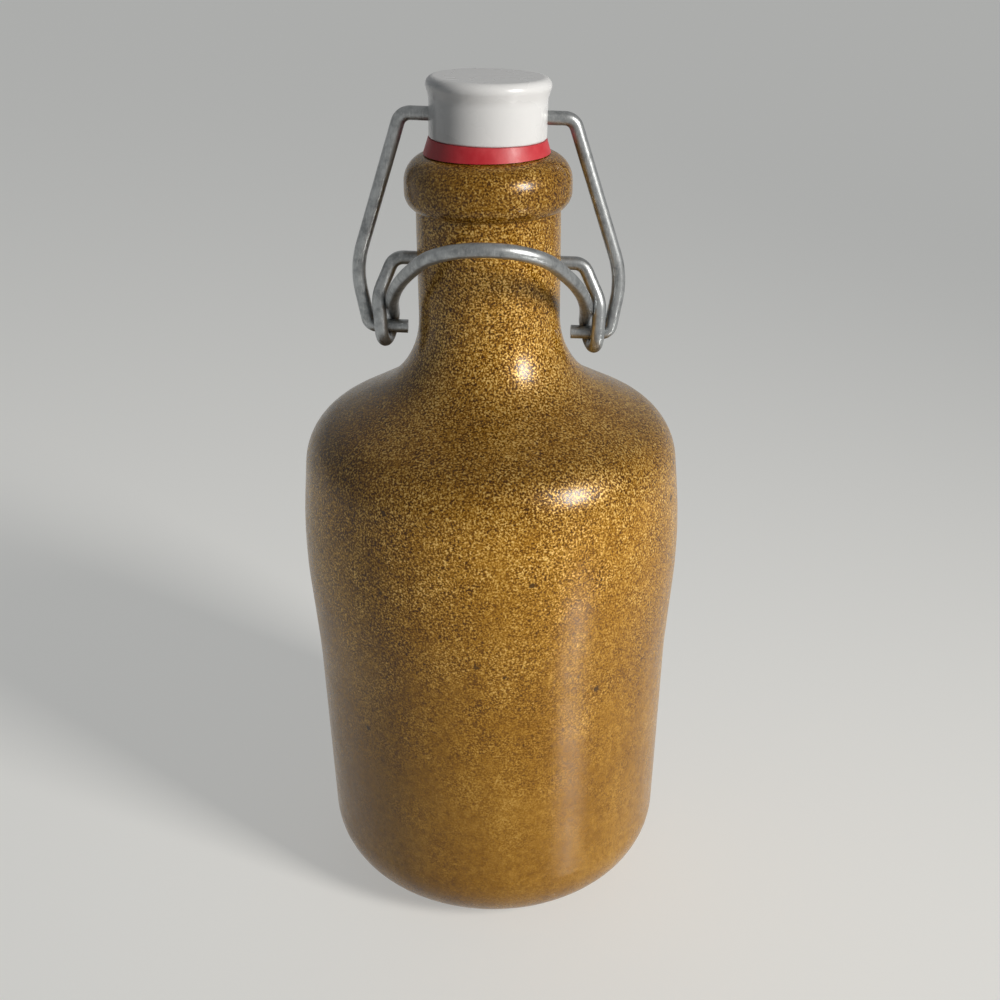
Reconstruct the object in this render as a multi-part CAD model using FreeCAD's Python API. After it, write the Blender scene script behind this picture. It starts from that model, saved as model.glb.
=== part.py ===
"""Swing-top stoneware bottle: a thrown, hollow body closed by a porcelain stopper on spring wire.

Frame: origin at the centre of the foot, +Z up, the wire bow on the -Y side. Lengths in mm.
"""
import FreeCAD
import Part
import math
import os

Vector = FreeCAD.Vector
tiny = 1e-3                 # lengths below this count as nothing
fine_edge = 0.2             # rounding of the stopper's small inner edges

# --- stoneware body -------------------------------------------------------------------------
foot_radius = 24.0          # outer edge of the flat ring that the bottle stands on
foot_ring_width = 5.0
foot_recess = 1.0           # unglazed centre of the underside, lifted clear of the table
base_radius = 40.0          # side wall carried down to the table, before the corner is rounded
base_corner = 16.0
shoulder_height = 116.3     # corner between wall and shoulder, before it is rounded
shoulder_radius = 42.0
shoulder_corner = 13.7
shoulder_pitch = 28.0       # degrees that the shoulder rises towards the neck
swell_radius = 44.3         # thrown ring, the widest part
swell_drop = 25.9           # below the shoulder corner
waist_radius = 42.0         # where the wall starts to swell
waist_drop = 54.5           # below the shoulder corner
wall_bend = 128.0           # the bends at waist and swell are long and soft
wall = 5.6
floor = 7.0

# --- neck and lip ---------------------------------------------------------------------------
neck_radius = 15.7
neck_flare = 19.0
bore_radius = 8.5
mouth_rise = 61.2           # top of the lip above the shoulder corner
lip_overhang = 2.4          # the lip stands this far past the neck
lip_over_roll = 5.8         # radius of the lip's upper half
lip_under_roll = 4.2
lip_band = 2.2              # upright run between the two
lip_inner_edge = 0.8

# --- stopper and washer ---------------------------------------------------------------------
washer_height = 3.1         # squeezed thickness on the axis
washer_inset = 2.1          # the washer's foot stays this far inside the neck's skin
washer_taper = 0.95         # the washer's top is this much narrower than its foot
washer_clearance = 0.05     # between the rubber and the lip
washer_edge = 0.1           # of the washer's top that shows round the cap
stem_clearance = 0.05       # between the rubber and the porcelain stem
cap_height = 12.6
cap_rim_flare = 1.05        # the cap's top rim stands out past its waist
cap_rim_drop = 4.2          # the flare of the cap ends this far below its top
cap_edge = 1.7              # rounding of the top edge
cap_foot_edge = 0.5
bar_above_washer = 4.5      # height of the cross bore in the cap
plug_clearance = 1.7        # round the plug in the bore, so that it can swing out
plug_ledge = 0.6            # the plug holds the washer on its stem
plug_taper = 2.2
plug_length = 7.5
plug_edge = 1.2
stem_length = 4.6
stopper_lean = 1.6          # degrees; the stopper leans less than the bar in its loose bore

# --- wires --------------------------------------------------------------------------------------
wire_radius = 1.5
running_clearance = 0.08    # round each pin, stub and bar
turn_clearance = 0.3        # between the two passes of the wire at the hook
closure_lean = 2.6          # degrees: the left side of the closure sits higher than the right
pivot_drop = 23.4           # pins of the lever below the top of the lip
socket_depth = 3.3
pin_end_gap = 0.3
pin_reach = 5.05            # the pin turns down this far outside the neck
pin_bend = 3.0
leg_gap = 8.7               # lever's leg, outside the neck
leg_shoulder = 7.8          # height above the stub at which the leg is upright
leg_bend = 8.2
hook_drop = 15.8            # hook below the pivot
hook_back = 0.5             # hook behind the pivot, which holds the closure shut
hook_turns = 3              # bends that make up the hook round the stub
bow_rise = 35.0             # degrees that the bow climbs towards the front
bow_past_lip = 13.2         # the front of the bow stands this far in front of the lip
bow_side_share = 0.4        # of its length, where the sides of the bow start to close
bow_front_half = 9.9        # half of the front run, between the two front bends
bow_side_bend = 62.0
bow_front_bend = 14.5
stub_gap = 2.5              # cut end of the bail's stub, outside the neck
stub_bend = 2.1
stub_length = 8.6
bail_spread = 13.5          # widest corner of the bail's legs, outside the neck
bail_spread_rise = 13.1     # above the stub
bail_side_bend = 20.9
bar_overhang = 5.7          # the bar turns down this far outside the cap's waist
bar_bend = 2.75

# --- derived sizes ------------------------------------------------------------------------------
lean = math.radians(closure_lean)
pitch = math.radians(shoulder_pitch)
rise = math.radians(bow_rise)
lip_height = shoulder_height + mouth_rise
lip_radius = neck_radius + lip_overhang
land_radius = lip_radius - lip_over_roll
cap_seat = lip_height + washer_height
bar_height = cap_seat + bar_above_washer
washer_foot_radius = neck_radius - washer_inset
washer_top_radius = washer_foot_radius - washer_taper
cap_waist_radius = washer_top_radius - washer_edge
plug_radius = bore_radius - plug_clearance
stem_radius = plug_radius - plug_ledge
pivot_height = lip_height - pivot_drop
stub_height = pivot_height - hook_drop
hole_radius = wire_radius + running_clearance
hook_radius = wire_radius + hole_radius
hook_step = 2 * wire_radius + turn_clearance


def unit(vector):
    return vector / vector.Length


def rounded_path(points, radii):
    """Straight runs through the points, with a tangent arc of the given radius at each corner."""
    edges = []
    start = points[0]
    for before, corner, after, radius in zip(points, points[1:], points[2:], radii):
        back = unit(before - corner)
        ahead = unit(after - corner)
        half_angle = back.getAngle(ahead) / 2
        tangent = radius / math.tan(half_angle)
        entry = corner + back * tangent
        leave = corner + ahead * tangent
        centre = corner + unit(back + ahead) * (radius / math.sin(half_angle))
        middle = centre + unit(corner - centre) * radius
        if (entry - start).Length > tiny:
            edges.append(Part.LineSegment(start, entry).toShape())
        edges.append(Part.Arc(entry, middle, leave).toShape())
        start = leave
    edges.append(Part.LineSegment(start, points[-1]).toShape())
    return edges


def at(radius, height):
    """A point of a turned outline."""
    return Vector(radius, 0, height)


def run(*points):
    """Straight edges from point to point."""
    return [Part.LineSegment(start, end).toShape() for start, end in zip(points, points[1:])]


def turned(edges):
    """Turn a closed outline about the Z axis."""
    return Part.Face(Part.Wire(edges)).revolve(Vector(0, 0, 0), Vector(0, 0, 1), 360)


def leaning(x, y, z):
    """A point of the closure: heights fall towards +X, and upright legs stay upright."""
    return Vector(x, y, z - x * math.tan(lean))


def cross_rod(y, z, radius, start, end):
    """Cylinder along the closure's leaning cross axis, between two values of X."""
    base = leaning(start, y, z)
    span = leaning(end, y, z) - base
    return Part.makeCylinder(radius, span.Length, base, span)


# --- body -----------------------------------------------------------------------------------------
def body_corners(inset, bottom, neck):
    """Corners and radii of the body from the foot of the wall to the neck, moved inwards by inset."""
    brow = shoulder_radius - inset
    brow_height = shoulder_height + inset * math.tan(pitch) - inset / math.cos(pitch)
    corners = [at(base_radius - inset, bottom),
               at(waist_radius - inset, shoulder_height - waist_drop),
               at(swell_radius - inset, shoulder_height - swell_drop),
               at(brow, brow_height),
               at(neck, brow_height + (brow - neck) * math.tan(pitch))]
    radii = [base_corner - inset / 2, wall_bend, wall_bend, shoulder_corner - inset, neck_flare]
    return corners, radii


def lip_outline():
    """Rolled lip, from its crease on the neck over the widest band to the flat land."""
    over = at(lip_radius - lip_over_roll, lip_height - lip_over_roll)
    under = at(lip_radius - lip_under_roll, over.z - lip_band)
    crease_turn = -math.acos((neck_radius - under.x) / lip_under_roll)
    under_points = [under + at(math.cos(turn), math.sin(turn)) * lip_under_roll
                    for turn in (crease_turn, crease_turn / 2, 0)]
    over_points = [over + at(math.cos(turn), math.sin(turn)) * lip_over_roll
                   for turn in (0, math.pi / 4, math.pi / 2)]
    band = run(under_points[-1], over_points[0])
    lower = Part.Arc(*under_points).toShape()
    upper = Part.Arc(*over_points).toShape()
    return under_points[0], [lower] + band + [upper]


def body_skin():
    """Outside of the body, with the recessed foot and the rolled lip."""
    crease, lip = lip_outline()
    foot = at(foot_radius, 0)
    ring_inner = foot_radius - foot_ring_width
    foot_top = at(0, foot_recess)
    underside = run(foot_top, at(ring_inner - foot_recess, foot_recess), at(ring_inner, 0), foot)
    corners, radii = body_corners(0, 0, neck_radius)
    side = rounded_path([foot] + corners + [crease], radii)
    top = run(at(land_radius, lip_height), at(0, lip_height), foot_top)
    return turned(underside + side + lip + top)


def body_cavity():
    """Inside of the body and neck, up to the mouth."""
    corners, radii = body_corners(wall, floor, bore_radius)
    mouth = at(bore_radius, lip_height)
    side = rounded_path([at(0, floor)] + corners + [mouth], radii)
    return turned(side + run(mouth, at(0, lip_height), at(0, floor)))


def bottle_body():
    solid = body_skin().cut(body_cavity())
    mouth = [edge for edge in solid.Edges
             if abs(edge.BoundBox.ZMin - lip_height) < tiny
             and abs(edge.BoundBox.XMax - bore_radius) < tiny]
    solid = solid.makeFillet(lip_inner_edge, mouth)
    socket_floor = neck_radius - socket_depth
    for side in (-1, 1):
        socket = cross_rod(0, pivot_height, hole_radius, side * socket_floor, side * lip_radius)
        solid = solid.cut(socket)
    return solid


# --- stopper ----------------------------------------------------------------------------------------
def leaned(shape):
    """Lean a piece of the stopper to the side, about the seat of its cap."""
    return shape.rotate(Vector(0, 0, cap_seat), Vector(0, 1, 0), stopper_lean)


def stopper_head():
    """Porcelain cap, stem and plug in one piece, with the cross bore for the bail."""
    top = cap_seat + cap_height
    rim = cap_waist_radius + cap_rim_flare
    ledge = cap_seat - stem_length
    tip = ledge - plug_length
    outline = [at(0, tip),
               at(plug_radius - plug_taper, tip),
               at(plug_radius, ledge - 2 * plug_edge),
               at(plug_radius, ledge),
               at(stem_radius, ledge),
               at(stem_radius, cap_seat),
               at(cap_waist_radius, cap_seat),
               at(cap_waist_radius, top - cap_rim_drop),
               at(rim, top - cap_edge / 2),
               at(rim - cap_edge, top),
               at(0, top)]
    radii = [plug_edge, plug_edge, fine_edge, fine_edge, stem_clearance, cap_foot_edge,
             cap_rim_drop, cap_edge, cap_edge]
    head = leaned(turned(rounded_path(outline, radii) + run(outline[-1], outline[0])))
    return head.cut(cross_rod(0, bar_height, hole_radius, -2 * rim, 2 * rim))


def sealing_washer():
    """Rubber ring, square to the leaning cap above and flat on the lip below."""
    hole = stem_radius + stem_clearance
    deep = cap_seat - 2 * washer_height
    outline = [at(hole, cap_seat),
               at(washer_top_radius, cap_seat),
               at(washer_top_radius + 2 * washer_taper, deep),
               at(hole, deep),
               at(hole, cap_seat)]
    ring = leaned(turned(run(*outline)))
    width = 4 * washer_foot_radius
    below = Part.makeBox(width, width, width)
    below.translate(Vector(-width / 2, -width / 2, lip_height + washer_clearance - width))
    return ring.cut(below)


# --- wires -----------------------------------------------------------------------------------------
def bent_wire(name, left_points, left_radii):
    """Sweep a wire along a path whose left half is given; the right half is its mirror image."""
    right_points = [Vector(-point.x, point.y, point.z) for point in reversed(left_points)]
    points = [leaning(*point) for point in left_points + right_points]
    radii = left_radii + left_radii[::-1]
    path = Part.Wire(rounded_path(points, radii))
    section = Part.Wire(Part.Circle(points[0], points[1] - points[0], wire_radius).toShape())
    solid = path.makePipeShell([section], True, False)
    expected = math.pi * wire_radius ** 2 * path.Length
    print(f"{name}: wire length {path.Length:.2f}, volume against section times length "
          f"{solid.Volume / expected:.5f}, tightest bend {min(radii):.2f}")
    return solid


def hook_corners(leave_angle):
    """Corners of the hook that goes under and behind the stub, from its front to leave_angle."""
    step = (leave_angle - math.pi) / hook_turns
    reach = hook_radius / math.cos(step / 2)
    corners = []
    for turn in range(hook_turns):
        share = (turn + 0.5) / hook_turns
        angle = math.pi + step * (turn + 0.5)
        corners.append(Vector(hook_step * share - neck_radius - leg_gap,
                              hook_back + reach * math.cos(angle),
                              stub_height + reach * math.sin(angle)))
    return corners


def lever_wire():
    """Pin, leg, hook and bow of the left side; the bow leaves the hook over the stub."""
    leg_x = -neck_radius - leg_gap
    pin_end = neck_radius - socket_depth + pin_end_gap
    leave_angle = 2.5 * math.pi - rise
    forward = Vector(0, -math.cos(rise), math.sin(rise))
    bow_start = Vector(leg_x + hook_step,
                       hook_back + hook_radius * math.cos(leave_angle),
                       stub_height + hook_radius * math.sin(leave_angle))
    bow_length = (lip_radius + bow_past_lip + bow_start.y) / math.cos(rise)
    bow_front = bow_start + forward * bow_length
    left = [Vector(-pin_end, 0, pivot_height),
            Vector(-neck_radius - pin_reach, 0, pivot_height),
            Vector(leg_x, hook_back - hook_radius, stub_height + leg_shoulder)]
    left += hook_corners(leave_angle)
    left += [bow_start + forward * (bow_length * bow_side_share),
             Vector(-bow_front_half, bow_front.y, bow_front.z)]
    radii = [pin_bend, leg_bend] + [hook_radius] * hook_turns + [bow_side_bend, bow_front_bend]
    return bent_wire("lever_wire", left, radii)


def bail_wire():
    """Stub, leg and bar of the left side; the bar runs through the stopper."""
    spread_y = hook_back * (1 - bail_spread_rise / (bar_height - stub_height))
    left = [Vector(-neck_radius - stub_gap, hook_back, stub_height),
            Vector(-neck_radius - stub_gap - stub_length, hook_back, stub_height),
            Vector(-neck_radius - bail_spread, spread_y, stub_height + bail_spread_rise),
            Vector(-cap_waist_radius - bar_overhang, 0, bar_height)]
    return bent_wire("bail_wire", left, [stub_bend, bail_side_bend, bar_bend])


os.makedirs("parts", exist_ok=True)
pieces = {
    "bottle_body": bottle_body(),
    "stopper_head": stopper_head(),
    "sealing_washer": sealing_washer(),
    "lever_wire": lever_wire(),
    "bail_wire": bail_wire(),
}
for name, shape in pieces.items():
    solid = shape.Solids[0]
    print(f"{name}: valid {solid.isValid()}, solids {len(shape.Solids)}, volume {solid.Volume:.1f}")
    solid.exportStep(f"parts/{name}.step")
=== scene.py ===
"""Looks of a swing-top stoneware bottle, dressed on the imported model.

Blender objects are in metres, in the frame of the model: origin at the centre of the foot, +Z up,
the wire bow on the -Y side.
"""
import math
import bpy
from mathutils import Euler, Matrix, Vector


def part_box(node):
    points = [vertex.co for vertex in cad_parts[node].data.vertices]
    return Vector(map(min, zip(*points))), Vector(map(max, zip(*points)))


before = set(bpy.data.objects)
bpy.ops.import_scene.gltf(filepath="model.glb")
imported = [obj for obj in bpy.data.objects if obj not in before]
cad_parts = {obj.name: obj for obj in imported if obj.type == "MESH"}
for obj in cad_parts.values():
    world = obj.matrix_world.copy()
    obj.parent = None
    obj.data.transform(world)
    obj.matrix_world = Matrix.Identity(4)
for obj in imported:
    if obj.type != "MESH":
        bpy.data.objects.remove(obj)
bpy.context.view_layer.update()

MM = 0.001
BODY_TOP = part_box("bottle_body")[1].z

# --- camera ------------------------------------------------------------------------------------
CAMERA_DISTANCE = 301.0 * MM        # in front of the bottle's axis
CAMERA_HEIGHT = 233.7 * MM
CAMERA_PITCH = 24.53                # degrees below the horizon
CAMERA_ROLL = -0.58
CAMERA_SHIFT = 0.0087
FOCAL_SHARE = 1.4                   # focal length, as a share of the picture's width
SENSOR = 36.0
NEAREST = 0.01                      # what is nearer to the camera isn't drawn

# --- glaze: brightness and colour --------------------------------------------------------------
# Brightness at each height, a share of the body's: the shoulder and the lip are the darkest. The
# dip at the shoulder (0.665 to 0.72) is painted shade, for its upward-facing flat that the low
# lamp hardly lights.
GLAZE_ZONES_WITH_SHOULDER_SHADE = ((0.0, 0.84), (0.30, 0.92), (0.50, 1.0), (0.60, 1.0), (0.665, 0.53),
               (0.72, 0.58), (0.78, 0.88), (0.90, 0.88), (0.94, 0.68), (1.0, 0.60))
GLAZE_COLOURS = ((0.0, (0.065, 0.022, 0.0)),
                 (0.25, (0.190, 0.075, 0.001)),
                 (0.48, (0.360, 0.165, 0.008)),
                 (0.70, (0.560, 0.300, 0.045)),
                 (1.0, (0.950, 0.640, 0.210)))
MIDDLE_TONE = 0.48                  # place in the colours that the grain moves up and down from

# --- glaze: grain ------------------------------------------------------------------------------
# A layer is the size of its features and how far it moves the tone.
FLECK = (0.42 * MM, 0.46)
MOTTLE = (1.6 * MM, 0.13)
STREAK = (9 * MM, 0.06)
CLOUD = (24 * MM, 0.07)
PATCH = (8 * MM, 0.12)              # moves the height at which the flecks change
UPRIGHT = (1, 1, 0.2)               # draws streaks out along the height
FLECK_HEIGHTS = (0.14, 0.74)        # flecks grow from faint to strong between these heights
FLECK_STRENGTHS = (0.2, 1.35)
LIP_HEIGHTS = (0.88, 1.0)           # and weaken again towards the lip
LIP_STRENGTHS = (1.0, 0.7)

# --- glaze: relief and gloss -------------------------------------------------------------------
FLECK_RELIEF = (0.03 * MM, 0.5)     # depth and strength
DIMPLE = 5 * MM
DIMPLE_RELIEF = (0.3 * MM, 0.3)
THROWING_RING = 5 * MM
ROUND_THE_BODY = (0.02, 0.02, 1)    # draws the rings out round the axis
RING_RELIEF = (0.12 * MM, 0.35)
GLOSS_PATCH = 3 * MM
GLAZE_ROUGHNESS = (0.22, 0.32)
GOLD_FLECK = (0.0, 0.3)             # from here to here a fleck turns from glaze to gold
GOLD_ROUGHNESS = 0.18               # added
GOLD_METAL = 0.32

# --- glaze: pits -------------------------------------------------------------------------------
PIT_COLOUR = (0.055, 0.024, 0.003)
PIT_SPACING = 7 * MM
PIT_WANDER_SIZE = 0.9 * MM          # the outlines of the pits wander at this size
PIT_WANDER = 1.5 * MM
PIT_PICK = (0.45, 0.9)              # cells below the first number have no pit
PIT_RADIUS = 0.12                   # of the largest, as a share of the spacing
PIT_HEIGHTS = (0.60, 0.70)          # above the shoulder the pits are smaller
PIT_SIZE_ABOVE = 0.4
PIT_EDGE = (-0.004, 0.02)           # a pit sets in over this distance, in the same share
PIT_DARKNESS = 0.9                  # share of the pit's colour at its middle

# --- porcelain, rubber and wire ----------------------------------------------------------------
# Each has two colours that its noise goes between.
PORCELAIN = ((0.74, 0.745, 0.745), (0.725, 0.73, 0.73))
RUBBER = ((0.47, 0.018, 0.028), (0.56, 0.05, 0.06))
ZINC = ((0.39, 0.405, 0.41), (0.20, 0.21, 0.215))
DRAWN_MARK = (0.60, 0.60, 0.59)
ALONG_THE_WIRE = (1, 1, 0.18)       # draws marks out along the upright runs of the wire

# --- floor, backdrop and lamps -----------------------------------------------------------------
BACKDROP = (0.38, 0.38, 0.375)
FLOOR = (0.50, 0.50, 0.485)
FLOOR_SIZE = 24.0                   # metres, wide enough to end near the horizon
FLOOR_LIFT = 0.72                   # share of its own colour added where the floor is seen
SKY = (0.78, 0.84, 0.90)
AMBIENT = 0.085                     # strength of the light from in front and from above
BEHIND = 1.20                       # and of that from low behind, which models the back
AIM = 0.6                           # the lamps point at this share of the body's height
# Lamps: angles in degrees, lengths in metres, power in watts.
KEY_LAMP = {"azimuth": 52, "elevation": 24, "distance": 0.9, "size": (0.20, 0.32),
            "power": 1.15, "spread": 64, "colour": (1.0, 0.965, 0.92)}
FILL_LAMP = {"azimuth": -75, "elevation": 20, "distance": 1.2, "size": (0.9, 0.9),
             "power": 0.25, "spread": 180, "colour": (0.92, 0.96, 1.0)}

# --- node sockets ------------------------------------------------------------------------------
MIX_SHARE, MIX_FIRST, MIX_SECOND, MIX_RESULT = 0, 6, 7, 2
NOISE_RANGE = (0.3, 0.7)            # most of a noise texture's values lie between these
SURFACE_SOCKETS = {"color": "Base Color", "roughness": "Roughness", "metallic": "Metallic",
                   "coat": "Coat Weight", "coat_roughness": "Coat Roughness", "ior": "IOR",
                   "specular": "Specular IOR Level", "emission": "Emission Color",
                   "emission_strength": "Emission Strength"}


# --- making nodes ------------------------------------------------------------------------------
class Nodes:
    """The nodes of a material or of the world, made and linked in one call each."""

    def __init__(self, tree):
        self.tree = tree

    def feed(self, socket, source):
        """Link the socket to another node's output, or set its own value."""
        if isinstance(source, bpy.types.NodeSocket):
            self.tree.links.new(source, socket)
        elif socket.type == "RGBA":
            socket.default_value = (*source, 1)
        else:
            socket.default_value = source

    def node(self, kind, inputs=(), **settings):
        made = self.tree.nodes.new(kind)
        for key, value in settings.items():
            setattr(made, key, value)
        for socket, source in dict(inputs).items():
            self.feed(made.inputs[socket], source)
        return made

    def math(self, operation, first, second):
        return self.node("ShaderNodeMath", {0: first, 1: second}, operation=operation).outputs[0]

    def vector_math(self, operation, first, second):
        return self.node("ShaderNodeVectorMath", {0: first, 1: second},
                         operation=operation).outputs[0]

    def separate(self, vector):
        return self.node("ShaderNodeSeparateXYZ", {0: vector}).outputs

    def spread(self, value, low, high, to_low=0.0, to_high=1.0):
        """Map low..high to to_low..to_high, clamped."""
        return self.node("ShaderNodeMapRange",
                         {"Value": value, "From Min": low, "From Max": high,
                          "To Min": to_low, "To Max": to_high}).outputs["Result"]

    def seen_rays(self):
        """1 for rays of the camera, off metal or through glass, and 0 for light that falls."""
        path = self.node("ShaderNodeLightPath").outputs
        mirrored = self.math("MAXIMUM", path["Is Camera Ray"], path["Is Glossy Ray"])
        return self.math("MAXIMUM", mirrored, path["Is Transmission Ray"])


class Shader(Nodes):
    """A material with the few building blocks that the looks below share."""

    def __init__(self, name):
        self.material = bpy.data.materials.new(name)
        self.material.use_nodes = True
        super().__init__(self.material.node_tree)
        self.surface = self.tree.nodes["Principled BSDF"]
        self.place = self.node("ShaderNodeTexCoord").outputs["Object"]
        self.bump_chain = None

    def stretched(self, scale):
        """Places squeezed along each axis, so that what is drawn on them stretches out."""
        return self.vector_math("MULTIPLY", self.place, scale)

    def height(self):
        """Height above the foot as a share of the body's height."""
        return self.math("DIVIDE", self.separate(self.place)["Z"], BODY_TOP)

    def noise(self, size, detail=2.0, roughness=0.5, place=None, output="Fac"):
        """Noise whose features are about size metres across."""
        made = self.node("ShaderNodeTexNoise",
                         {"Vector": place or self.place, "Scale": 1.0 / size, "Detail": detail,
                          "Roughness": roughness})
        return made.outputs[output]

    def noise_between(self, noise, low, high):
        return self.spread(noise, *NOISE_RANGE, low, high)

    def layer(self, size, reach, **noise):
        """Noise that moves a value up or down by reach."""
        return self.noise_between(self.noise(size, **noise), -reach, reach)

    def ramp(self, value, stops):
        made = self.node("ShaderNodeValToRGB", {0: value})
        ramp = made.color_ramp
        while len(ramp.elements) < len(stops):
            ramp.elements.new(0.5)
        for element, (at, colour) in zip(ramp.elements, stops):
            element.position = at
            if isinstance(colour, (int, float)):
                colour = (colour, colour, colour)
            element.color = (*colour, 1)
        return made.outputs["Color"]

    def mix(self, share, first, second, blend="MIX"):
        return self.node("ShaderNodeMix",
                         {MIX_SHARE: share, MIX_FIRST: first, MIX_SECOND: second},
                         data_type="RGBA", blend_type=blend).outputs[MIX_RESULT]

    def bump(self, value, depth, strength):
        """Add relief of the given depth in metres."""
        made = self.node("ShaderNodeBump", {"Height": value, "Strength": strength,
                                            "Distance": depth})
        if self.bump_chain:
            self.feed(made.inputs["Normal"], self.bump_chain)
        self.bump_chain = made.outputs["Normal"]

    def finish(self, **inputs):
        for key, source in inputs.items():
            self.feed(self.surface.inputs[SURFACE_SOCKETS[key]], source)
        if self.bump_chain:
            self.feed(self.surface.inputs["Normal"], self.bump_chain)
        return self.material


# --- materials ---------------------------------------------------------------------------------
def stoneware():
    """Ochre salt glaze: dense gold flecks on dark brown that calm to a mottled tan at the foot."""
    s = Shader("stoneware")
    height = s.height()
    about = s.math("ADD", height, s.layer(*PATCH))
    strength = s.math("MULTIPLY", s.spread(about, *FLECK_HEIGHTS, *FLECK_STRENGTHS),
                      s.spread(about, *LIP_HEIGHTS, *LIP_STRENGTHS))
    fleck = s.math("MULTIPLY", s.layer(*FLECK, detail=1, roughness=0.6), strength)
    mottle = s.layer(*MOTTLE, detail=4, roughness=0.75)
    streak = s.layer(*STREAK, detail=3, place=s.stretched(UPRIGHT))
    cloud = s.layer(*CLOUD, detail=3)
    grain = s.math("ADD", s.math("ADD", fleck, mottle), s.math("ADD", streak, cloud))
    colour = s.ramp(s.math("ADD", grain, MIDDLE_TONE), GLAZE_COLOURS)
    # multiplies in the brightness by height, which holds painted shade at the shoulder
    colour = s.mix(1.0, colour, s.ramp(height, GLAZE_ZONES_WITH_SHOULDER_SHADE), "MULTIPLY")
    colour = s.mix(pits(s), colour, PIT_COLOUR)
    s.bump(fleck, *FLECK_RELIEF)
    s.bump(s.noise(DIMPLE), *DIMPLE_RELIEF)
    s.bump(s.noise(THROWING_RING, detail=1, place=s.stretched(ROUND_THE_BODY)), *RING_RELIEF)
    roughness = s.math("ADD", s.noise_between(s.noise(GLOSS_PATCH), *GLAZE_ROUGHNESS),
                       s.spread(fleck, *GOLD_FLECK, 0.0, GOLD_ROUGHNESS))
    return s.finish(color=colour, roughness=roughness,
                    metallic=s.spread(fleck, *GOLD_FLECK, 0.0, GOLD_METAL),
                    coat=0.2, coat_roughness=0.18, specular=0.22)


def pits(s):
    """Dark pits up to about a millimetre across where the glaze crawled back, most on the wall."""
    wander = s.vector_math("MULTIPLY", s.noise(PIT_WANDER_SIZE, output="Color"),
                           (PIT_WANDER,) * 3)
    cells = s.node("ShaderNodeTexVoronoi", {"Vector": s.vector_math("ADD", s.place, wander),
                                            "Scale": 1.0 / PIT_SPACING}).outputs
    radius = s.math("MULTIPLY", s.spread(cells["Color"], *PIT_PICK, 0.0, PIT_RADIUS),
                    s.spread(s.height(), *PIT_HEIGHTS, 1.0, PIT_SIZE_ABOVE))
    inside = s.math("SUBTRACT", radius, cells["Distance"])
    return s.spread(inside, *PIT_EDGE, 0.0, PIT_DARKNESS)


def porcelain():
    """White satin glaze, a little uneven."""
    s = Shader("porcelain")
    cloud = s.noise(6 * MM)
    wave = s.noise(9 * MM, detail=0)
    gloss = s.noise(8 * MM)
    s.bump(wave, depth=0.10 * MM, strength=0.10)
    return s.finish(color=s.mix(s.noise_between(cloud, 0.0, 1.0), *PORCELAIN),
                    roughness=s.noise_between(gloss, 0.24, 0.30),
                    coat=0.15, coat_roughness=0.2)


def rubber():
    """Red rubber with a soft bloom."""
    s = Shader("rubber")
    bloom = s.noise(2.5 * MM, detail=3)
    grain = s.noise(0.5 * MM)
    s.bump(grain, depth=0.03 * MM, strength=0.4)
    return s.finish(color=s.mix(s.spread(bloom, 0.35, 0.75), *RUBBER),
                    roughness=s.noise_between(bloom, 0.38, 0.55))


def wire():
    """Dull zinc-coated spring wire with drawing marks and small stains."""
    s = Shader("wire")
    stain = s.noise(2.2 * MM, detail=4, roughness=0.65)
    marks = s.noise(0.35 * MM, place=s.stretched(ALONG_THE_WIRE))
    dents = s.noise(1.1 * MM)
    colour = s.mix(s.spread(stain, 0.42, 0.72), *ZINC)
    colour = s.mix(s.spread(marks, 0.55, 0.72, 0.0, 0.45), colour, DRAWN_MARK)
    s.bump(marks, depth=0.02 * MM, strength=0.5)
    s.bump(dents, depth=0.05 * MM, strength=0.35)
    return s.finish(color=colour, roughness=s.noise_between(stain, 0.3, 0.48), metallic=0.92)


def dress(node, material):
    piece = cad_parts[node]
    piece.data.materials.clear()
    piece.data.materials.append(material)


# --- camera, stage and light -------------------------------------------------------------------
def add_camera():
    data = bpy.data.cameras.new("camera")
    data.sensor_width = SENSOR
    data.lens = SENSOR * FOCAL_SHARE
    data.shift_x = CAMERA_SHIFT
    data.clip_start = NEAREST
    camera = bpy.data.objects.new("camera", data)
    bpy.context.scene.collection.objects.link(camera)
    camera.location = (0, -CAMERA_DISTANCE, CAMERA_HEIGHT)
    look = Euler((math.radians(90 - CAMERA_PITCH), 0, 0)).to_matrix()
    roll = Euler((0, 0, math.radians(CAMERA_ROLL))).to_matrix()
    camera.rotation_euler = (look @ roll).to_euler()
    bpy.context.scene.camera = camera


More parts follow.
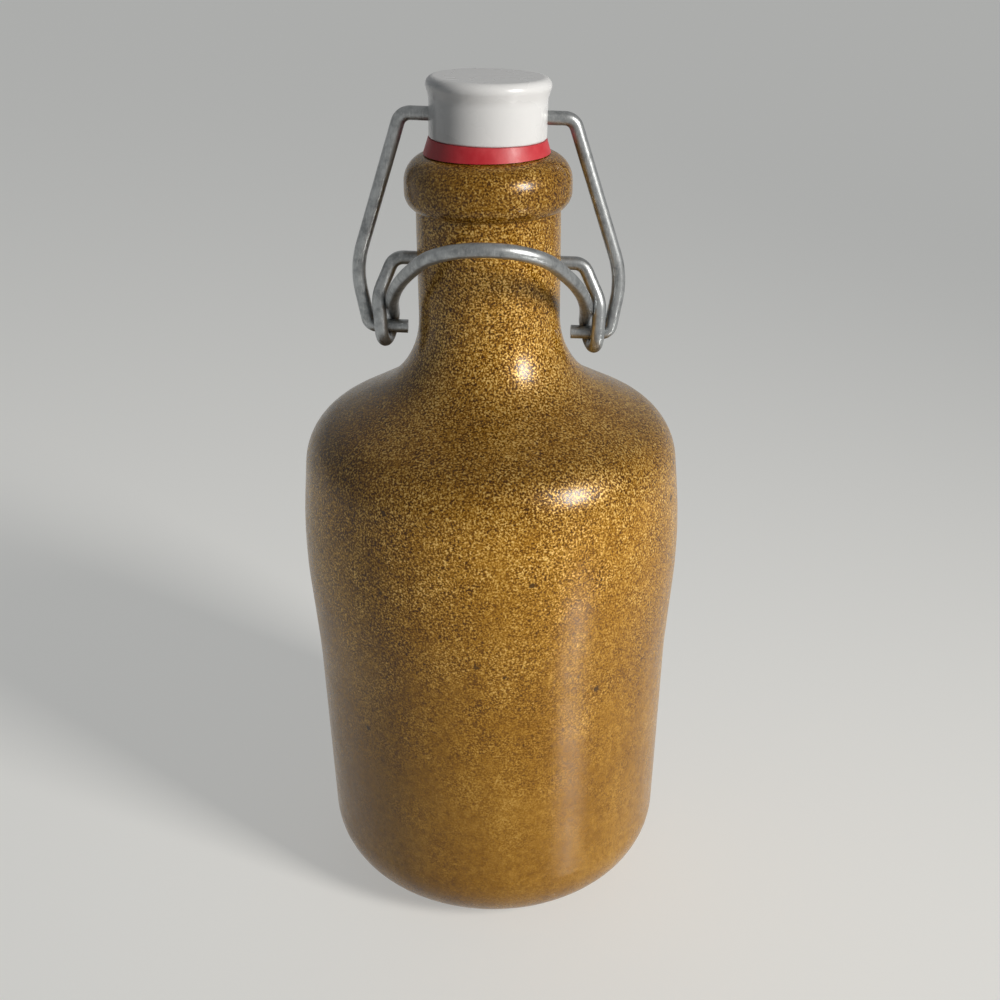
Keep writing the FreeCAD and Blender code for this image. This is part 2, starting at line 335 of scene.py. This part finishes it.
def add_stage():
    bpy.ops.mesh.primitive_plane_add(size=FLOOR_SIZE, location=(0, 0, 0))
    floor = bpy.context.object
    floor.name = "floor"
    s = Shader("floor")
    lift = s.math("MULTIPLY", s.seen_rays(), FLOOR_LIFT)
    camera_ray = s.node("ShaderNodeLightPath").outputs["Is Camera Ray"]
    floor.data.materials.append(s.finish(color=FLOOR, emission=FLOOR, emission_strength=lift,
                                         roughness=0.22, ior=1.9,
                                         specular=s.math("SUBTRACT", 1.0, camera_ray)))


def area_light(name, azimuth, elevation, distance, size, power, spread, colour):
    """Soft lamp aimed at the bottle; azimuth 0 is in front, 90 to the right."""
    data = bpy.data.lights.new(name, "AREA")
    data.shape = "RECTANGLE"
    data.size, data.size_y = size
    data.energy = power
    data.spread = math.radians(spread)
    data.color = colour
    lamp = bpy.data.objects.new(name, data)
    bpy.context.scene.collection.objects.link(lamp)
    around = math.radians(azimuth)
    up = math.radians(elevation)
    direction = Vector((math.sin(around) * math.cos(up), -math.cos(around) * math.cos(up),
                        math.sin(up)))
    target = Vector((0, 0, BODY_TOP * AIM))
    lamp.location = target + direction * distance
    lamp.rotation_euler = direction.to_track_quat("Z", "Y").to_euler()


def add_world():
    """Light that grows from the front to low behind, before a plain backdrop."""
    world = bpy.data.worlds.new("world")
    bpy.context.scene.world = world
    world.use_nodes = True
    n = Nodes(world.node_tree)
    direction = n.separate(n.node("ShaderNodeTexCoord").outputs["Generated"])
    low_behind = n.math("SUBTRACT", direction["Y"], direction["Z"])
    falling = n.tree.nodes["Background"]
    n.feed(falling.inputs["Color"], SKY)
    n.feed(falling.inputs["Strength"], n.spread(low_behind, 0.0, 1.0, AMBIENT, BEHIND))
    seen = n.node("ShaderNodeBackground", {"Color": BACKDROP, "Strength": 1.0})
    both = n.node("ShaderNodeMixShader",
                  {0: n.seen_rays(), 1: falling.outputs[0], 2: seen.outputs[0]})
    n.feed(n.tree.nodes["World Output"].inputs["Surface"], both.outputs[0])


add_camera()
dress("bottle_body", stoneware())
dress("stopper_head", porcelain())
dress("sealing_washer", rubber())
wire_look = wire()
dress("lever_wire", wire_look)
dress("bail_wire", wire_look)
add_stage()
area_light("key", **KEY_LAMP)
area_light("fill", **FILL_LAMP)
add_world()
bpy.context.scene.view_settings.view_transform = "Standard"
